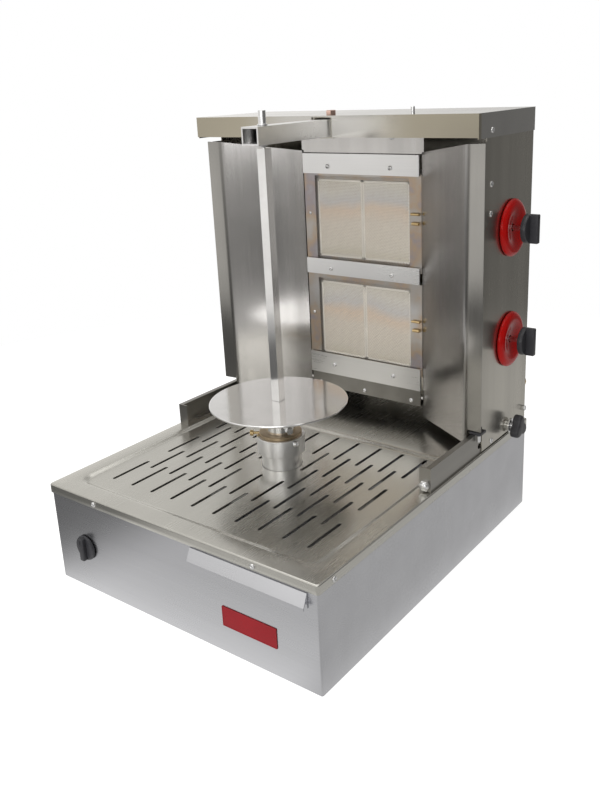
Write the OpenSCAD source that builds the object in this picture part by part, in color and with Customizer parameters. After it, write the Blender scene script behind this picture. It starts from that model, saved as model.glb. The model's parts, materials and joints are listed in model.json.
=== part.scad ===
// Countertop gas vertical rotisserie: a square skewer turns on a base with a
// gearmotor, in front of a sliding tower that holds two ceramic burners.
// Origin: on the skewer's axis, at the underside of the base. +Z up, +X right,
// -Y towards the cook. All sizes are in millimetres.

/* [Base] */
// Width of the base cabinet
body_w = 500; // [480:1:520]
// Distance from the skewer axis to the front panel
body_front = 246; // [242:1:260]
// Distance from the skewer axis to the rear panel
body_back = 350; // [346:1:360]
// Height of the front panel that shows under the tray's lip
panel_h = 144; // [144:1:150]
// Thickness of the cabinet sheet
sheet = 1.5; // [1:0.1:2]
// Outside radius of the cabinet's front bends
bend_r = 2.5; // [2:0.5:6]

/* [Slotted tray] */
// Height of the tray's downturned lip
lip_h = 14; // [12:1:16]
// How far the lip stands out from the panels
lip_out = 2.5; // [2:0.1:4]
// Half width of the recess at its top edge
recess_x = 226.5; // [222:0.5:232]
// Front edge of the recess
recess_front = -219; // [-224:1:-214]
// Rear edge of the recess
recess_back = 137; // [130:1:142]
// Depth of the recess
recess_depth = 4; // [3:0.5:4.5]
// Radius of the recess corners
recess_r = 25; // [20:1:30]
// Length of a slot
slot_l = 74; // [60:1:74]
// Width of a slot
slot_w = 5.2; // [4:0.1:6]
// Distance between slots in a row
slot_pitch = 41.4; // [38:0.1:41.4]
// Distance between rows of slots
row_pitch = 57.8; // [56:0.1:57.8]

/* [Spindle] */
// Radius of the polished post
post_r = 31; // [29:1:31]
// Radius of the collar at the top of the post
collar_r = 37; // [36:1:38]
// Radius of the drive shaft
shaft_r = 12.5; // [10:0.5:13]
// Side of the square skewer
skewer_w = 14; // [12:1:15]
// Top of the skewer
skewer_top = 634; // [620:1:634]
// Radius of the meat disc
disc_r = 106; // [80:1:110]
// Underside of the meat disc
disc_z = 256; // [250:1:260]

/* [Tower] */
// Front edge of the tower's side panels
tower_front = 184; // [184:1:190]
// Rear face of the tower
tower_back_y = 346; // [344:1:348]
// Top of the hood
hood_top = 670; // [668:1:672]
// Half width of the hood
hood_x = 260; // [258:1:264]
// Front face of the hood's fascia
hood_front = 138; // [134:1:138]
// Rear edge of the hood
hood_back = 326; // [320:1:326]

/* [Burners] */
// Height of the upper burner's centre
upper_z = 496; // [494:1:498]
// Height of the lower burner's centre
lower_z = 320; // [318:1:322]
// Width of one ceramic tile
tile_w = 90.5; // [88:0.5:91]
// Height of one ceramic tile
tile_h = 131.6; // [128:0.2:132]

/* [Gas controls] */
// Distance of the gas knobs behind the skewer axis
valve_y = 273; // [271:1:275]
// Radius of the enamelled bezel behind a gas knob
bezel_r = 44; // [40:1:46]
// Radius of a gas knob
knob_r = 22; // [20:1:24]

/* [Top arm] */
// Width of the arm's tube
arm_w = 30; // [28:1:30]
// Height of the arm's tube
arm_h = 25; // [22:1:25]
// Radius of the top pin
pin_r = 5.5; // [5:0.5:6]

/* [Gear train] */
// Gear module
gear_m = 2.5; // [2.5:0.1:2.5]
// Teeth on the spindle gear
gear_teeth = 60; // [60:1:60]
// Teeth on the motor pinion
pinion_teeth = 16; // [16:1:16]

/* [Hidden] */
$fn = 64;

// Small allowances
cut = 1;          // how far a cutter runs past the face that it cuts
slip = 0.3;       // gap between flat faces of pieces that move past each other
run = 0.06;       // radial clearance of a shaft in its bush

// Base cabinet
side_x = body_w / 2;
inner_x = side_x - sheet;
front_y = -body_front;
rim_z = panel_h + lip_h;
wall_top = rim_z - sheet;
lip_x = side_x + lip_out;
plate_z = rim_z - recess_depth;
step_w = 11;      // width of the sloped edge of the recess

// Grease drawer
drawer_x0 = 42;
drawer_x1 = 232;
drawer_back = 135;
drawer_z0 = 122.5;
drawer_z1 = 140;
drawer_t = 1.2;
handle_out = 9;   // how far the drawer's pull stands out at its lower edge
handle_z0 = 120.5;
handle_z1 = 141.5;
flange_y = front_y - slip;

// Mains switch
switch_x = -183;
switch_z = 70;
switch_r = 19.5;

// Gear train
gear_r = gear_m * gear_teeth / 2;
pinion_r = gear_m * pinion_teeth / 2;
motor_x = -(gear_r + pinion_r);
gear_z0 = 30;
gear_z1 = 42;
case_z0 = 20;
case_z1 = 62;
lid_z1 = 65;
backlash = 0.3;   // measured along the pitch circle of each gear
pressure = 20;    // pressure angle in degrees

// Spindle heights
collar_z0 = 177;
collar_z1 = 204;
bush_z1 = 209;
flange_r = 33;    // radius of the upper bush's flange
hub_z0 = 209.5;
hub_z1 = 236;
shaft_top = 216;
disc_t = 3;

// Tower
panel_t = 1.2;
tower_in = side_x - panel_t;
tower_z0 = rim_z + 2;
hood_t = 1.5;
hood_under = hood_top - hood_t;
fascia_z0 = hood_top - 32;
rail_x0 = side_x - 3.5;
rail_x1 = tower_in - slip;
rail_top = 194;
rail_flange_x = 240;
rail_front = 26;
lock_y = 278.5;
lock_z = 171.4;
slide_travel = 100;   // how far the tower slides towards the skewer

// Wings, in plan: inner edge, fold, outer edge
wing_in = [116, 238];
wing_fold = [231, 163];
wing_out = [259.5, 160.5];

// Outer flange of the wings, and the side panels' nose behind it
flange_z0 = 202.5;
flange_z1 = 629;
nose_y = 162.1;

// Burners
box_x = 110;
box_z = 80;
box_front = 245;
box_back = 300;
strip_y = 234;    // middle of the retaining strips' sheet
strip_x = 112;    // middle of a strip's folded end
mesh_x = 114.5;
mesh_z = 79;
tile_x = tile_w + 0.3;
burner_z = [upper_z, lower_z];

// Gas line
pipe_x = 230;
pipe_y = 306;
inlet_z = 215;
inlet_r = 10.4;
valve_x0 = 214;
valve_x1 = 246;
stem_r = 4;
stem_x0 = 228;
stem_x1 = 288;
knob_x0 = 273;
knob_x1 = 294;

// Arm
arm_z0 = 639.5;
arm_z1 = arm_z0 + arm_h;
arm_front = -28;
arm_back = 215;
arm_t = 2.5;
clamp_y = 164;

STEEL = [0.78, 0.78, 0.76];
DARK = [0.45, 0.43, 0.40];
POLISHED = [0.88, 0.88, 0.88];
BLACK = [0.10, 0.10, 0.11];
RED = [0.75, 0.08, 0.06];
BRASS = [0.80, 0.62, 0.30];
IRON = [0.40, 0.42, 0.45];

// ---- shared shapes ----

// Box between two corners
module block(lo, hi) {
    translate(lo) cube(hi - lo);
}

// Rods along each axis, named by their ends
module rod_x(x0, x1, r, y, z) {
    translate([x0, y, z]) rotate([0, 90, 0]) cylinder(r = r, h = x1 - x0);
}

module rod_y(y0, y1, r, x, z) {
    translate([x, y0, z]) rotate([-90, 0, 0]) cylinder(r = r, h = y1 - y0);
}

module rod_z(z0, z1, r, x = 0, y = 0) {
    translate([x, y, z0]) cylinder(r = r, h = z1 - z0);
}

// Rod that points away from the skewer axis
module rod_out(r0, r1, r, angle, z) {
    rotate([0, 0, angle]) rod_x(r0, r1, r, 0, z);
}

module both_sides() {
    children();
    mirror([1, 0, 0]) children();
}

// Plan outline with rounded corners, of one radius in front and one behind
module plan(x, y0, y1, r, back_r = 0) {
    translate([-x, y0 + r]) square([2 * x, y1 - y0 - r - back_r]);
    translate([-x + r, y0]) square([2 * (x - r), r + 1]);
    translate([-x + back_r, y1 - back_r - 1]) square([2 * (x - back_r), back_r + 1]);
    for (s = [-1, 1]) {
        translate([s * (x - r), y0 + r]) circle(r);
        if (back_r > 0) {
            translate([s * (x - back_r), y1 - back_r]) circle(back_r);
        }
    }
}

// Slot with round ends, centred, along Y
module slot_2d(length, width) {
    square([width, length - width], center = true);
    for (s = [-1, 1]) {
        translate([0, s * (length - width) / 2]) circle(width / 2);
    }
}

// Folded sheet in plan: straight strips with a round bend at each fold
module bent_sheet(points, t) {
    for (i = [0 : len(points) - 2]) {
        step = points[i + 1] - points[i];
        translate(points[i]) rotate(atan2(step[1], step[0]))
            translate([0, -t / 2]) square([norm(step), t]);
    }
    for (i = [1 : 1 : len(points) - 2]) {
        translate(points[i]) circle(t / 2);
    }
}

// ---- gears ----

function inv(a) = tan(a) * 180 / PI - a;

// Half the angle that a tooth takes up at radius r
function tooth_half(r, teeth) =
    let (pitch = gear_m * teeth / 2, base = pitch * cos(pressure))
    90 / teeth - backlash / (4 * pitch) * 180 / PI + inv(pressure)
        - inv(acos(min(1, base / max(r, base))));

function polar(r, a) = [r * cos(a), r * sin(a)];

function tooth_radii(teeth) =
    let (pitch = gear_m * teeth / 2, root = pitch - 1.25 * gear_m, tip = pitch + gear_m,
         start = max(root, pitch * cos(pressure)))
    [root, start, start + (tip - start) * 0.3, start + (tip - start) * 0.65, tip];

function gear_outline(teeth) =
    let (radii = tooth_radii(teeth), n = len(radii))
    [for (i = [0 : teeth - 1], j = [0 : 2 * n - 1])
        let (k = j < n ? j : 2 * n - 1 - j, side = j < n ? -1 : 1)
        if (k > 0 || radii[1] > radii[0] + 0.01)
        polar(radii[k], i * 360 / teeth + side * tooth_half(radii[k], teeth))];

// ---- base ----

module bottom_panel() {
    color(STEEL) linear_extrude(sheet)
        plan(inner_x, front_y + sheet, body_back - sheet, bend_r - sheet);
}

module body_wrap() {
    color(STEEL) difference() {
        linear_extrude(wall_top) plan(side_x, front_y, body_back, bend_r);
        translate([0, 0, -cut]) linear_extrude(wall_top + 2 * cut)
            plan(inner_x, front_y + sheet, body_back + cut, bend_r - sheet);
        block([drawer_x0 - 1, front_y - cut, drawer_z0 - 0.7],
              [drawer_x1 + 1, front_y + sheet + cut, drawer_z1 + 0.8]);
        rod_y(front_y - cut, front_y + sheet + cut, 8, switch_x, switch_z);
    }
}

module rear_panel() {
    color(STEEL) difference() {
        block([-inner_x, body_back - sheet, 0], [inner_x, body_back, wall_top]);
        for (i = [-6 : 6]) {
            translate([i * 20, body_back, 85]) rotate([90, 0, 0])
                translate([0, 0, -cut]) linear_extrude(sheet + 2 * cut) slot_2d(50, 3.5);
        }
        rod_y(body_back - sheet - cut, body_back + cut, 8, -180, 45);
    }
}

module name_plate() {
    color(RED) block([90, front_y - 1.2, 41], [182, front_y, 71]);
}

// Section of the recess edge: distance in from the top edge, height
edge_section = [[-1, rim_z], [0, rim_z], [step_w, plate_z], [step_w + 1, plate_z],
                [step_w + 1, plate_z - sheet], [step_w, plate_z - sheet],
                [0, rim_z - sheet], [-1, rim_z - sheet]];

module edge_run(length) {
    rotate([90, 0, 90]) linear_extrude(length) polygon(edge_section);
}

module edge_corner() {
    rotate_extrude(angle = 90) polygon([for (p = edge_section) [recess_r - p[0], p[1]]]);
}

module recess_edge() {
    cx = recess_x - recess_r;
    y0 = recess_front + recess_r;
    y1 = recess_back - recess_r;
    translate([-cx, recess_front, 0]) edge_run(2 * cx);
    translate([cx, recess_back, 0]) rotate([0, 0, 180]) edge_run(2 * cx);
    translate([recess_x, y0, 0]) rotate([0, 0, 90]) edge_run(y1 - y0);
    translate([-recess_x, y1, 0]) rotate([0, 0, -90]) edge_run(y1 - y0);
    translate([cx, y1, 0]) edge_corner();
    translate([-cx, y1, 0]) rotate([0, 0, 90]) edge_corner();
    translate([-cx, y0, 0]) rotate([0, 0, 180]) edge_corner();
    translate([cx, y0, 0]) rotate([0, 0, 270]) edge_corner();
}

// Rows of 10 and 9 slots alternate, and leave room for the post
module slots() {
    for (row = [0 : 4]) {
        count = 10 - row % 2;
        y = -27.9 + (row - 2) * row_pitch;
        for (i = [0 : count - 1]) {
            x = (i - (count - 1) / 2) * slot_pitch;
            beside_post = abs(x) > post_r + slot_w;
            before_or_behind = abs(y) > post_r + slot_l / 2;
            if (beside_post || before_or_behind) {
                translate([x, y]) slot_2d(slot_l, slot_w);
            }
        }
    }
}

module slotted_top() {
    in = step_w;
    outer_r = bend_r + lip_out;
    color(STEEL) {
        difference() {
            translate([0, 0, panel_h]) linear_extrude(lip_h)
                plan(lip_x, front_y - lip_out, body_back + lip_out, outer_r, lip_out);
            translate([0, 0, panel_h - cut]) linear_extrude(lip_h - sheet + cut)
                plan(lip_x - sheet, front_y - lip_out + sheet, body_back + lip_out - sheet,
                     outer_r - sheet, lip_out - sheet);
            translate([0, 0, panel_h]) linear_extrude(lip_h + cut)
                plan(recess_x, recess_front, recess_back, recess_r, recess_r);
        }
        recess_edge();
        difference() {
            translate([0, 0, plate_z - sheet]) linear_extrude(sheet)
                plan(recess_x - in, recess_front + in, recess_back - in,
                     recess_r - in, recess_r - in);
            translate([0, 0, plate_z - sheet - cut]) linear_extrude(sheet + 2 * cut) slots();
            rod_z(plate_z - sheet - cut, plate_z + cut, post_r + 0.6);
        }
    }
}

// Sheet under the slots that sends the fat into the drawer
module drain_apron() {
    x0 = -232;
    x1 = 44;
    color(STEEL) difference() {
        translate([0, 140, 0]) rotate([90, 0, 0]) linear_extrude(365)
            polygon([[x0, 149.8], [x1, 143.8], [x1, 145], [x0 + 1.2, 151],
                     [x0 + 1.2, wall_top], [x0, wall_top]]);
        rod_z(140, 155, post_r + 0.6);
    }
}

// Channel-shaped rail that the tower slides on, with a front tab
module rail() {
    slot_y0 = lock_y - slide_travel - 5;
    slot_y1 = lock_y + 5;
    color(DARK) difference() {
        union() {
            block([rail_x0, rail_front, rim_z], [rail_x1, tower_back_y, rail_top]);
            block([rail_flange_x, rail_front, rail_top - sheet],
                  [rail_x1, tower_back_y, rail_top]);
            block([230, rail_front, rim_z], [rail_x1, rail_front + 2, rail_top]);
            block([236, 60, rim_z], [rail_x0 + 0.5, tower_back_y, rim_z + sheet]);
        }
        translate([rail_x0 - cut, (slot_y0 + slot_y1) / 2, lock_z]) rotate([0, 90, 0])
            linear_extrude(2 + 2 * cut) slot_2d(slot_y1 - slot_y0, 9);
    }
}

module right_rail() {
    rail();
}

module left_rail() {
    mirror([1, 0, 0]) rail();
}

// Screws of the tray's lip, and the cap nut on the right rail's tab
module base_fasteners() {
    color(POLISHED) {
        both_sides() {
            rod_y(front_y - lip_out - 2.2, front_y - lip_out, 4, 151, 150.5);
            rod_x(lip_x, lip_x + 2.2, 4, -216, 150.5);
        }
        rod_y(rail_front - 6, rail_front, 8.5, 240, 167.5, $fn = 6);
        rod_y(rail_front - 9, rail_front - 6, 6.5, 240, 167.5);
    }
}

module gearbox_case() {
    color(IRON) difference() {
        union() {
            block([-135, -85, case_z0], [85, 85, case_z1]);
            for (x = [-135, 55], y = [-85, 55]) {
                block([x, y, sheet], [x + 30, y + 30, case_z0 + cut]);
            }
        }
        block([-131, -81, case_z0 + 4], [81, 81, case_z1 + cut]);
        rod_z(case_z0 - cut, case_z0 + 4 + cut, 18);
    }
}

module gearbox_lid() {
    color(IRON) difference() {
        block([-135, -85, case_z1], [85, 85, lid_z1]);
        rod_z(case_z1 - cut, lid_z1 + cut, shaft_r + 1.5);
        rod_z(case_z1 - cut, lid_z1 + cut, 8, motor_x);
    }
}

module motor() {
    color(BLACK) difference() {
        union() {
            rod_z(lid_z1, lid_z1 + 6, 42, motor_x);
            rod_z(lid_z1 + 6, 124, 38, motor_x);
            rod_z(124, 130, 30, motor_x);
            block([motor_x - 20, 30, 80], [motor_x + 20, 52, 110]);
        }
        rod_z(lid_z1 - cut, 82, 5 + run, motor_x);
    }
}

module spindle_housing() {
    color(POLISHED) difference() {
        union() {
            rod_z(lid_z1, lid_z1 + 4, 44);
            rod_z(lid_z1, collar_z0 + cut, post_r);
            rod_z(collar_z0, collar_z1, collar_r);
        }
        rod_z(lid_z1 - cut, 180, 16);
        rod_z(180 - 0.01, collar_z1 + cut, 20);
        rod_out(collar_r - 6, collar_r + cut, 2.5, -15, 198);
    }
}

module lower_bush() {
    color(BRASS) difference() {
        union() {
            rod_z(case_z0, 25, 18);
            rod_z(case_z0 + 4, 27, 24);
        }
        rod_z(case_z0 - cut, 28, shaft_r + run);
    }
}

module upper_bush() {
    color(BRASS) difference() {
        union() {
            rod_z(180, collar_z1 + cut, 20);
            rod_z(collar_z1, bush_z1, flange_r);
        }
        rod_z(179, bush_z1 + cut, shaft_r + run);
        rod_out(flange_r - 6, flange_r + 1, 2.2, 217, 206.5);
    }
}

// Thumb screw in the bush's flange and the bolt that clamps the collar
module bush_screws() {
    color(BRASS) {
        rod_out(flange_r - 6, 42, 2.2, 217, 206.5);
        rod_out(41, 47, 4.5, 217, 206.5);
    }
    color(POLISHED) {
        rod_out(collar_r - 6, 38, 2.5, -15, 198);
        rod_out(collar_r + 0.5, 42.5, 5, -15, 198);
    }
}

module switch_body() {
    y0 = front_y + sheet;
    color(BLACK) difference() {
        block([switch_x - 15, y0, switch_z - 15], [switch_x + 15, y0 + 34, switch_z + 15]);
        rod_y(y0 - cut, y0 + 20, 3 + run, switch_x, switch_z);
    }
}

module cable_gland() {
    color(BLACK) difference() {
        union() {
            rod_y(body_back - 7, body_back + 2, 8, -180, 45);
            rod_y(body_back, body_back + 6, 12, -180, 45, $fn = 6);
            rod_y(body_back + 6, body_back + 11, 9, -180, 45);
            rod_y(body_back - 6.5, body_back - sheet, 12, -180, 45, $fn = 6);
        }
        rod_y(body_back - 8, body_back + 12, 4, -180, 45);
    }
}

// Angle that carries one side of the drawer, with a leg at the rear
module drawer_runner(x, side) {
    ledge = drawer_z0 - slip;
    color(STEEL) {
        block([min(x, x + side * 1.5), front_y + sheet, 112],
              [max(x, x + side * 1.5), 143, 140]);
        block([min(x, x + side * 12), front_y + sheet + 1, ledge - 1.5],
              [max(x, x + side * 12), 143, ledge]);
        block([min(x, x + side * 1.5), 137, sheet], [max(x, x + side * 1.5), 143, 113]);
    }
}

module drawer_runners() {
    drawer_runner(drawer_x0 - 4, 1);
    drawer_runner(drawer_x1 + 4, -1);
}

module grease_drawer() {
    t = drawer_t;
    y_in = flange_y - t / 2;
    y_out = front_y - handle_out + t / 2;
    color(STEEL) {
        difference() {
            block([drawer_x0, flange_y - t, drawer_z0], [drawer_x1, drawer_back, drawer_z1]);
            block([drawer_x0 + t, flange_y, drawer_z0 + t],
                  [drawer_x1 - t, drawer_back - t, drawer_z1 + cut]);
        }
        block([drawer_x0 - 2, flange_y - t, handle_z0], [drawer_x1 + 2, flange_y, handle_z1]);
        translate([drawer_x0 - 2, 0, 0]) rotate([90, 0, 90])
            linear_extrude(drawer_x1 - drawer_x0 + 4)
                bent_sheet([[y_in, handle_z1 - t / 2], [y_out, handle_z0 + 3.5],
                            [y_out, handle_z0]], t);
    }
}

module switch_knob() {
    face = front_y - 0.8;
    color(BLACK) {
        rod_y(face - 4.2, face, switch_r, switch_x, switch_z);
        block([switch_x - 4.5, face - 12, switch_z - 18],
              [switch_x + 4.5, face - 4, switch_z + 18]);
        rod_y(face - cut, front_y + 20, 3, switch_x, switch_z);
    }
}

// ---- spindle ----

module main_gear() {
    color(IRON) difference() {
        union() {
            translate([0, 0, gear_z0]) linear_extrude(gear_z1 - gear_z0)
                polygon(gear_outline(gear_teeth));
            rod_z(27.5, 48, 22);
        }
        rod_z(27, 49, shaft_r);
    }
}

module drive_shaft() {
    color(STEEL) rod_z(21, shaft_top, shaft_r);
}

module drive_hub() {
    socket = skewer_w / 2 + 0.05;
    color(STEEL) difference() {
        rod_z(hub_z0, hub_z1, 23);
        rod_z(hub_z0 - cut, shaft_top, shaft_r);
        block([-socket, -socket, shaft_top - cut], [socket, socket, hub_z1 + cut]);
        rod_out(11, 24, 3.5, -30, 222);
    }
}

module hub_bolt() {
    color(POLISHED) {
        rod_out(11, 35, 3.5, -30, 222);
        rod_out(34, 42, 6, -30, 222);
    }
}

module skewer() {
    half = skewer_w / 2;
    color(POLISHED) difference() {
        block([-half, -half, shaft_top], [half, half, skewer_top]);
        rod_z(610, skewer_top + cut, 3 + run);
    }
}

module meat_disc() {
    half = skewer_w / 2 + slip;
    color(POLISHED) difference() {
        union() {
            rod_z(hub_z1 + 1, disc_z + cut, 20);
            rod_z(disc_z, disc_z + disc_t, disc_r, $fn = 128);
        }
        block([-half, -half, hub_z1], [half, half, disc_z + disc_t + cut]);
        rod_out(11, 21, 3, 90, 246.5);
    }
}

module disc_screw() {
    color(POLISHED) {
        rod_out(11, 31, 3, 90, 246.5);
        rod_out(30, 37, 7, 90, 246.5);
    }
}

module motor_pinion() {
    color(IRON) {
        translate([motor_x, 0, gear_z0]) rotate([0, 0, 180 / pinion_teeth])
            linear_extrude(gear_z1 - gear_z0) polygon(gear_outline(pinion_teeth));
        rod_z(gear_z1 - cut, 50, 10, motor_x);
        rod_z(27, 80, 5, motor_x);
    }
}

// ---- tower ----

module tower_side(with_controls) {
    color(STEEL) difference() {
        union() {
            block([tower_in, tower_front, tower_z0], [side_x, tower_back_y, hood_under]);
            block([tower_in, nose_y, flange_z0], [side_x, tower_front + 1, flange_z1]);
        }
        if (with_controls) {
            for (z = burner_z) {
                rod_x(tower_in - cut, side_x + cut, 6, valve_y, z);
            }
        }
        rod_x(tower_in - cut, side_x + cut, stem_r + run, lock_y, lock_z);
    }
}

module tower_side_right() {
    tower_side(true);
}

module tower_side_left() {
    mirror([1, 0, 0]) tower_side(false);
}

module tower_back() {
    flange_y0 = hood_back + 2;
    color(STEEL) difference() {
        union() {
            block([-tower_in, tower_back_y - sheet, tower_z0],
                  [tower_in, tower_back_y, hood_under]);
            block([-tower_in, flange_y0, hood_under - sheet],
                  [tower_in, tower_back_y, hood_under]);
        }
        for (i = [-9 : 9]) {
            translate([i * 24, (flange_y0 + tower_back_y - sheet) / 2, hood_under - sheet - cut])
                linear_extrude(sheet + 2 * cut) rotate(90) slot_2d(16, 3.5);
        }
        for (i = [-9 : 9], z = [340, 560]) {
            translate([i * 20, tower_back_y + cut, z]) rotate([90, 0, 0])
                linear_extrude(sheet + 2 * cut) slot_2d(60, 3.5);
        }
        rod_y(tower_back_y - sheet - cut, tower_back_y + cut, 9, pipe_x, inlet_z);
        both_sides() {
            block([rail_flange_x - 1, tower_back_y - sheet - cut, tower_z0 - cut],
                  [side_x, tower_back_y + cut, rail_top + slip]);
        }
    }
}

module hood() {
    color(STEEL) difference() {
        block([-hood_x, hood_front, fascia_z0 - 2], [hood_x, hood_back, hood_top]);
        block([-hood_x + hood_t, hood_front + hood_t, fascia_z0 - 2 - cut],
              [hood_x - hood_t, hood_back + cut, hood_under]);
        block([-hood_x - cut, hood_front - cut, fascia_z0 - 2 - cut],
              [hood_x - hood_t, hood_front + hood_t + cut, fascia_z0]);
        block([-19, hood_front - cut, fascia_z0 - cut],
              [19, hood_front + hood_t + cut, hood_top - 2]);
        rod_z(hood_under - cut, hood_top + cut, stem_r + run, 0, clamp_y);
    }
}

// Reflector wing: a slanting panel and an outer flange, trimmed to a sloping outline
module wing() {
    color(STEEL) intersection() {
        translate([0, 0, 160]) linear_extrude(480)
            bent_sheet([wing_in, wing_fold, wing_out], panel_t);
        translate([0, 300, 0]) rotate([90, 0, 0]) linear_extrude(200)
            polygon([[100, 171], [231, 178], [236, flange_z0], [262, flange_z0],
                     [262, flange_z1], [231, 628], [100, 606]]);
    }
}

module right_wing() {
    wing();
}

module left_wing() {
    mirror([1, 0, 0]) wing();
}

// Panel that hangs from the hood above the upper burner, open where the arm passes
module top_panel() {
    color(STEEL) difference() {
        union() {
            block([-118, 240, 606], [118, 240 + panel_t, hood_under]);
            block([-118, 240, 606], [118, 250, 606 + panel_t]);
        }
        block([-20, 235, 634], [20, 250, hood_under + cut]);
    }
}

// Retaining strip with its ends folded back beside the burner, and a stiffener
module strip(z0, z1, web_z0, web_z1) {
    translate([0, 0, z0]) linear_extrude(z1 - z0)
        bent_sheet([[-strip_x, 238], [-strip_x, strip_y], [strip_x, strip_y],
                    [strip_x, 238]], sheet);
    block([-100, strip_y, web_z0], [100, box_front, web_z1]);
}

module burner_strips() {
    color(STEEL) {
        strip(572, 605, 603.5, 605);
        strip(400, 427, 401, 415);
        strip(218, 256, 218, 219.5);
    }
}

module lower_crossbar() {
    color(DARK) {
        block([-112, 236, 190], [112, 237.5, 217]);
        block([-112, 236, 190], [112, 262, 191.5]);
    }
}

module burner_box(z) {
    t = panel_t;
    win_x = tile_x + 0.5;
    win_z = tile_h / 2 + 0.5;
    color(DARK) {
        difference() {
            block([-box_x, box_front, z - box_z], [box_x, box_back, z + box_z]);
            block([-box_x + t, box_front + t, z - box_z + t],
                  [box_x - t, box_back - t, z + box_z - t]);
            block([-win_x, box_front - cut, z - win_z], [win_x, box_front + 5, z + win_z]);
        }
        difference() {
            block([-box_x + t / 2, 257, z - box_z + t / 2], [box_x - t / 2, 259, z + box_z - t / 2]);
            block([-86, 256, z - 61], [86, 260, z + 61]);
        }
    }
}

module upper_burner_box() {
    burner_box(upper_z);
}

module lower_burner_box() {
    burner_box(lower_z);
}

module tiles(z) {
    color("cornsilk") both_sides() {
        block([0.3, box_front - 1, z - tile_h / 2], [tile_x, 257, z + tile_h / 2]);
    }
}

module upper_tiles() {
    tiles(upper_z);
}

module lower_tiles() {
    tiles(lower_z);
}

// Screen in a shallow frame with broad sides that stands off the burner
module mesh(z) {
    hole = [tile_x + 1.5, mesh_z - 7];
    color(DARK) {
        difference() {
            block([-mesh_x, 238.5, z - mesh_z], [mesh_x, box_front, z + mesh_z]);
            block([-hole[0], 237, z - hole[1]], [hole[0], box_front + cut, z + hole[1]]);
        }
        block([-mesh_x + 1, 239.5, z - mesh_z + 1], [mesh_x - 1, 240.3, z + mesh_z - 1]);
    }
}

module upper_mesh() {
    mesh(upper_z);
}

module lower_mesh() {
    mesh(lower_z);
}

// Flame sensor tip and igniter beside each burner
module thermocouples() {
    for (z = burner_z) {
        color(BRASS) rod_x(97, 112, 2.2, 235.2, z + 17);
        color("ivory") rod_x(99, 111, 2.8, 235.2, z + 2);
    }
}

module gas_manifold() {
    color(BRASS) difference() {
        union() {
            rod_z(205, 520, 8, pipe_x, pipe_y);
            rod_y(pipe_y, 350, 8, pipe_x, inlet_z);
            rod_y(tower_back_y + 1, tower_back_y + 5, 15, pipe_x, inlet_z, $fn = 6);
            rod_y(tower_back_y + 5, tower_back_y + 27, inlet_r, pipe_x, inlet_z);
        }
        rod_y(pipe_y + 12, tower_back_y + 28, 6, pipe_x, inlet_z);
    }
}

module gas_valves() {
    color(BRASS) for (z = burner_z) {
        difference() {
            block([valve_x0, valve_y - 12, z - 14], [valve_x1, pipe_y - 8, z + 14]);
            rod_x(222, valve_x1 + cut, stem_r + run, valve_y, z);
        }
    }
}

module injector_pipes() {
    color(BRASS) for (z = burner_z) {
        rod_x(box_x, valve_x0, 4, valve_y, z);
    }
}

// Dished bezel with a rolled rim
module knob_bezels() {
    color(RED) for (z = burner_z) {
        translate([side_x, valve_y, z]) rotate([0, 90, 0]) rotate_extrude() {
            polygon([[6, 0], [bezel_r - 3, 0], [bezel_r - 3, 6.5], [30, 8.5], [15, 9], [6, 9]]);
            translate([bezel_r - 3.5, 3.5]) circle(3.5);
        }
    }
}

// Plastic pads that carry the tower on its rails, with a longer one for the guide pin
module glides() {
    z0 = rail_top + slip;
    color(BLACK) {
        block([238, 166, z0], [257, tower_front, 198.2]);
        both_sides() {
            block([rail_flange_x, 190, z0], [tower_in, 214, 201]);
            block([rail_flange_x, 318, z0], [tower_in, tower_back_y - sheet, 201]);
        }
    }
}

// Screws, guide pin and the lock's washers on the tower
module tower_fasteners() {
    color(POLISHED) {
        both_sides() {
            rod_x(side_x, side_x + 2, 4.5, 201, 569.5);
            rod_x(side_x, side_x + 2, 4.5, 201, 527);
            rod_x(side_x, side_x + 2, 4.5, 217, 166);
            rod_x(side_x, side_x + 7, 4.5, 333, 183);
            rod_x(hood_x, hood_x + 2, 4, 180, 646);
            for (z = [584, 411, 236]) {
                rod_y(strip_y - 3, strip_y - sheet / 2, 4, 61, z);
            }
            rod_y(233.4, 236, 4, 94, 198);
        }
        rod_y(233.4, 236, 4, 0, 198);
        rod_z(184, rail_top + slip, 3.5, 253, 166);
        for (z = burner_z) {
            rod_y(236.7, 238.5, 3, -104, z + 8);
        }
        rod_y(238.4, 240, 4, 61, 631);
        rod_z(hood_top, hood_top + 11, 3, 154, 146);
    }
    color(POLISHED) difference() {
        union() {
            rod_x(side_x, side_x + 4, 7, lock_y, lock_z);
            rod_x(side_x + 4, side_x + 7, 12, lock_y, lock_z);
        }
        rod_x(side_x - cut, side_x + 8, stem_r + run, lock_y, lock_z);
    }
}

// Channel under the hood that the arm slides in, with the clamp's nut
module arm_guide() {
    half = arm_w / 2 + slip;
    floor_z = arm_z0 - slip;
    color(STEEL) difference() {
        block([-half - 2.5, 141, floor_z - 2.5], [half + 2.5, 205, hood_under]);
        difference() {
            block([-half, 140, floor_z], [half, 206, hood_under + cut]);
            block([-half - cut, clamp_y - 9, hood_under - 2.5],
                  [half + cut, clamp_y + 9, hood_under + 2]);
        }
        rod_z(hood_under - 4, hood_under + cut, stem_r + run, 0, clamp_y);
    }
}

module arm_tube() {
    half = arm_w / 2;
    color(STEEL) difference() {
        block([-half, arm_front, arm_z0], [half, arm_back, arm_z1]);
        block([-half + arm_t, arm_front - cut, arm_z0 + arm_t],
              [half - arm_t, arm_back + cut, arm_z1 - arm_t]);
        rod_z(arm_z0 - cut, arm_z1 + cut, pin_r + run);
    }
}

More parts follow.
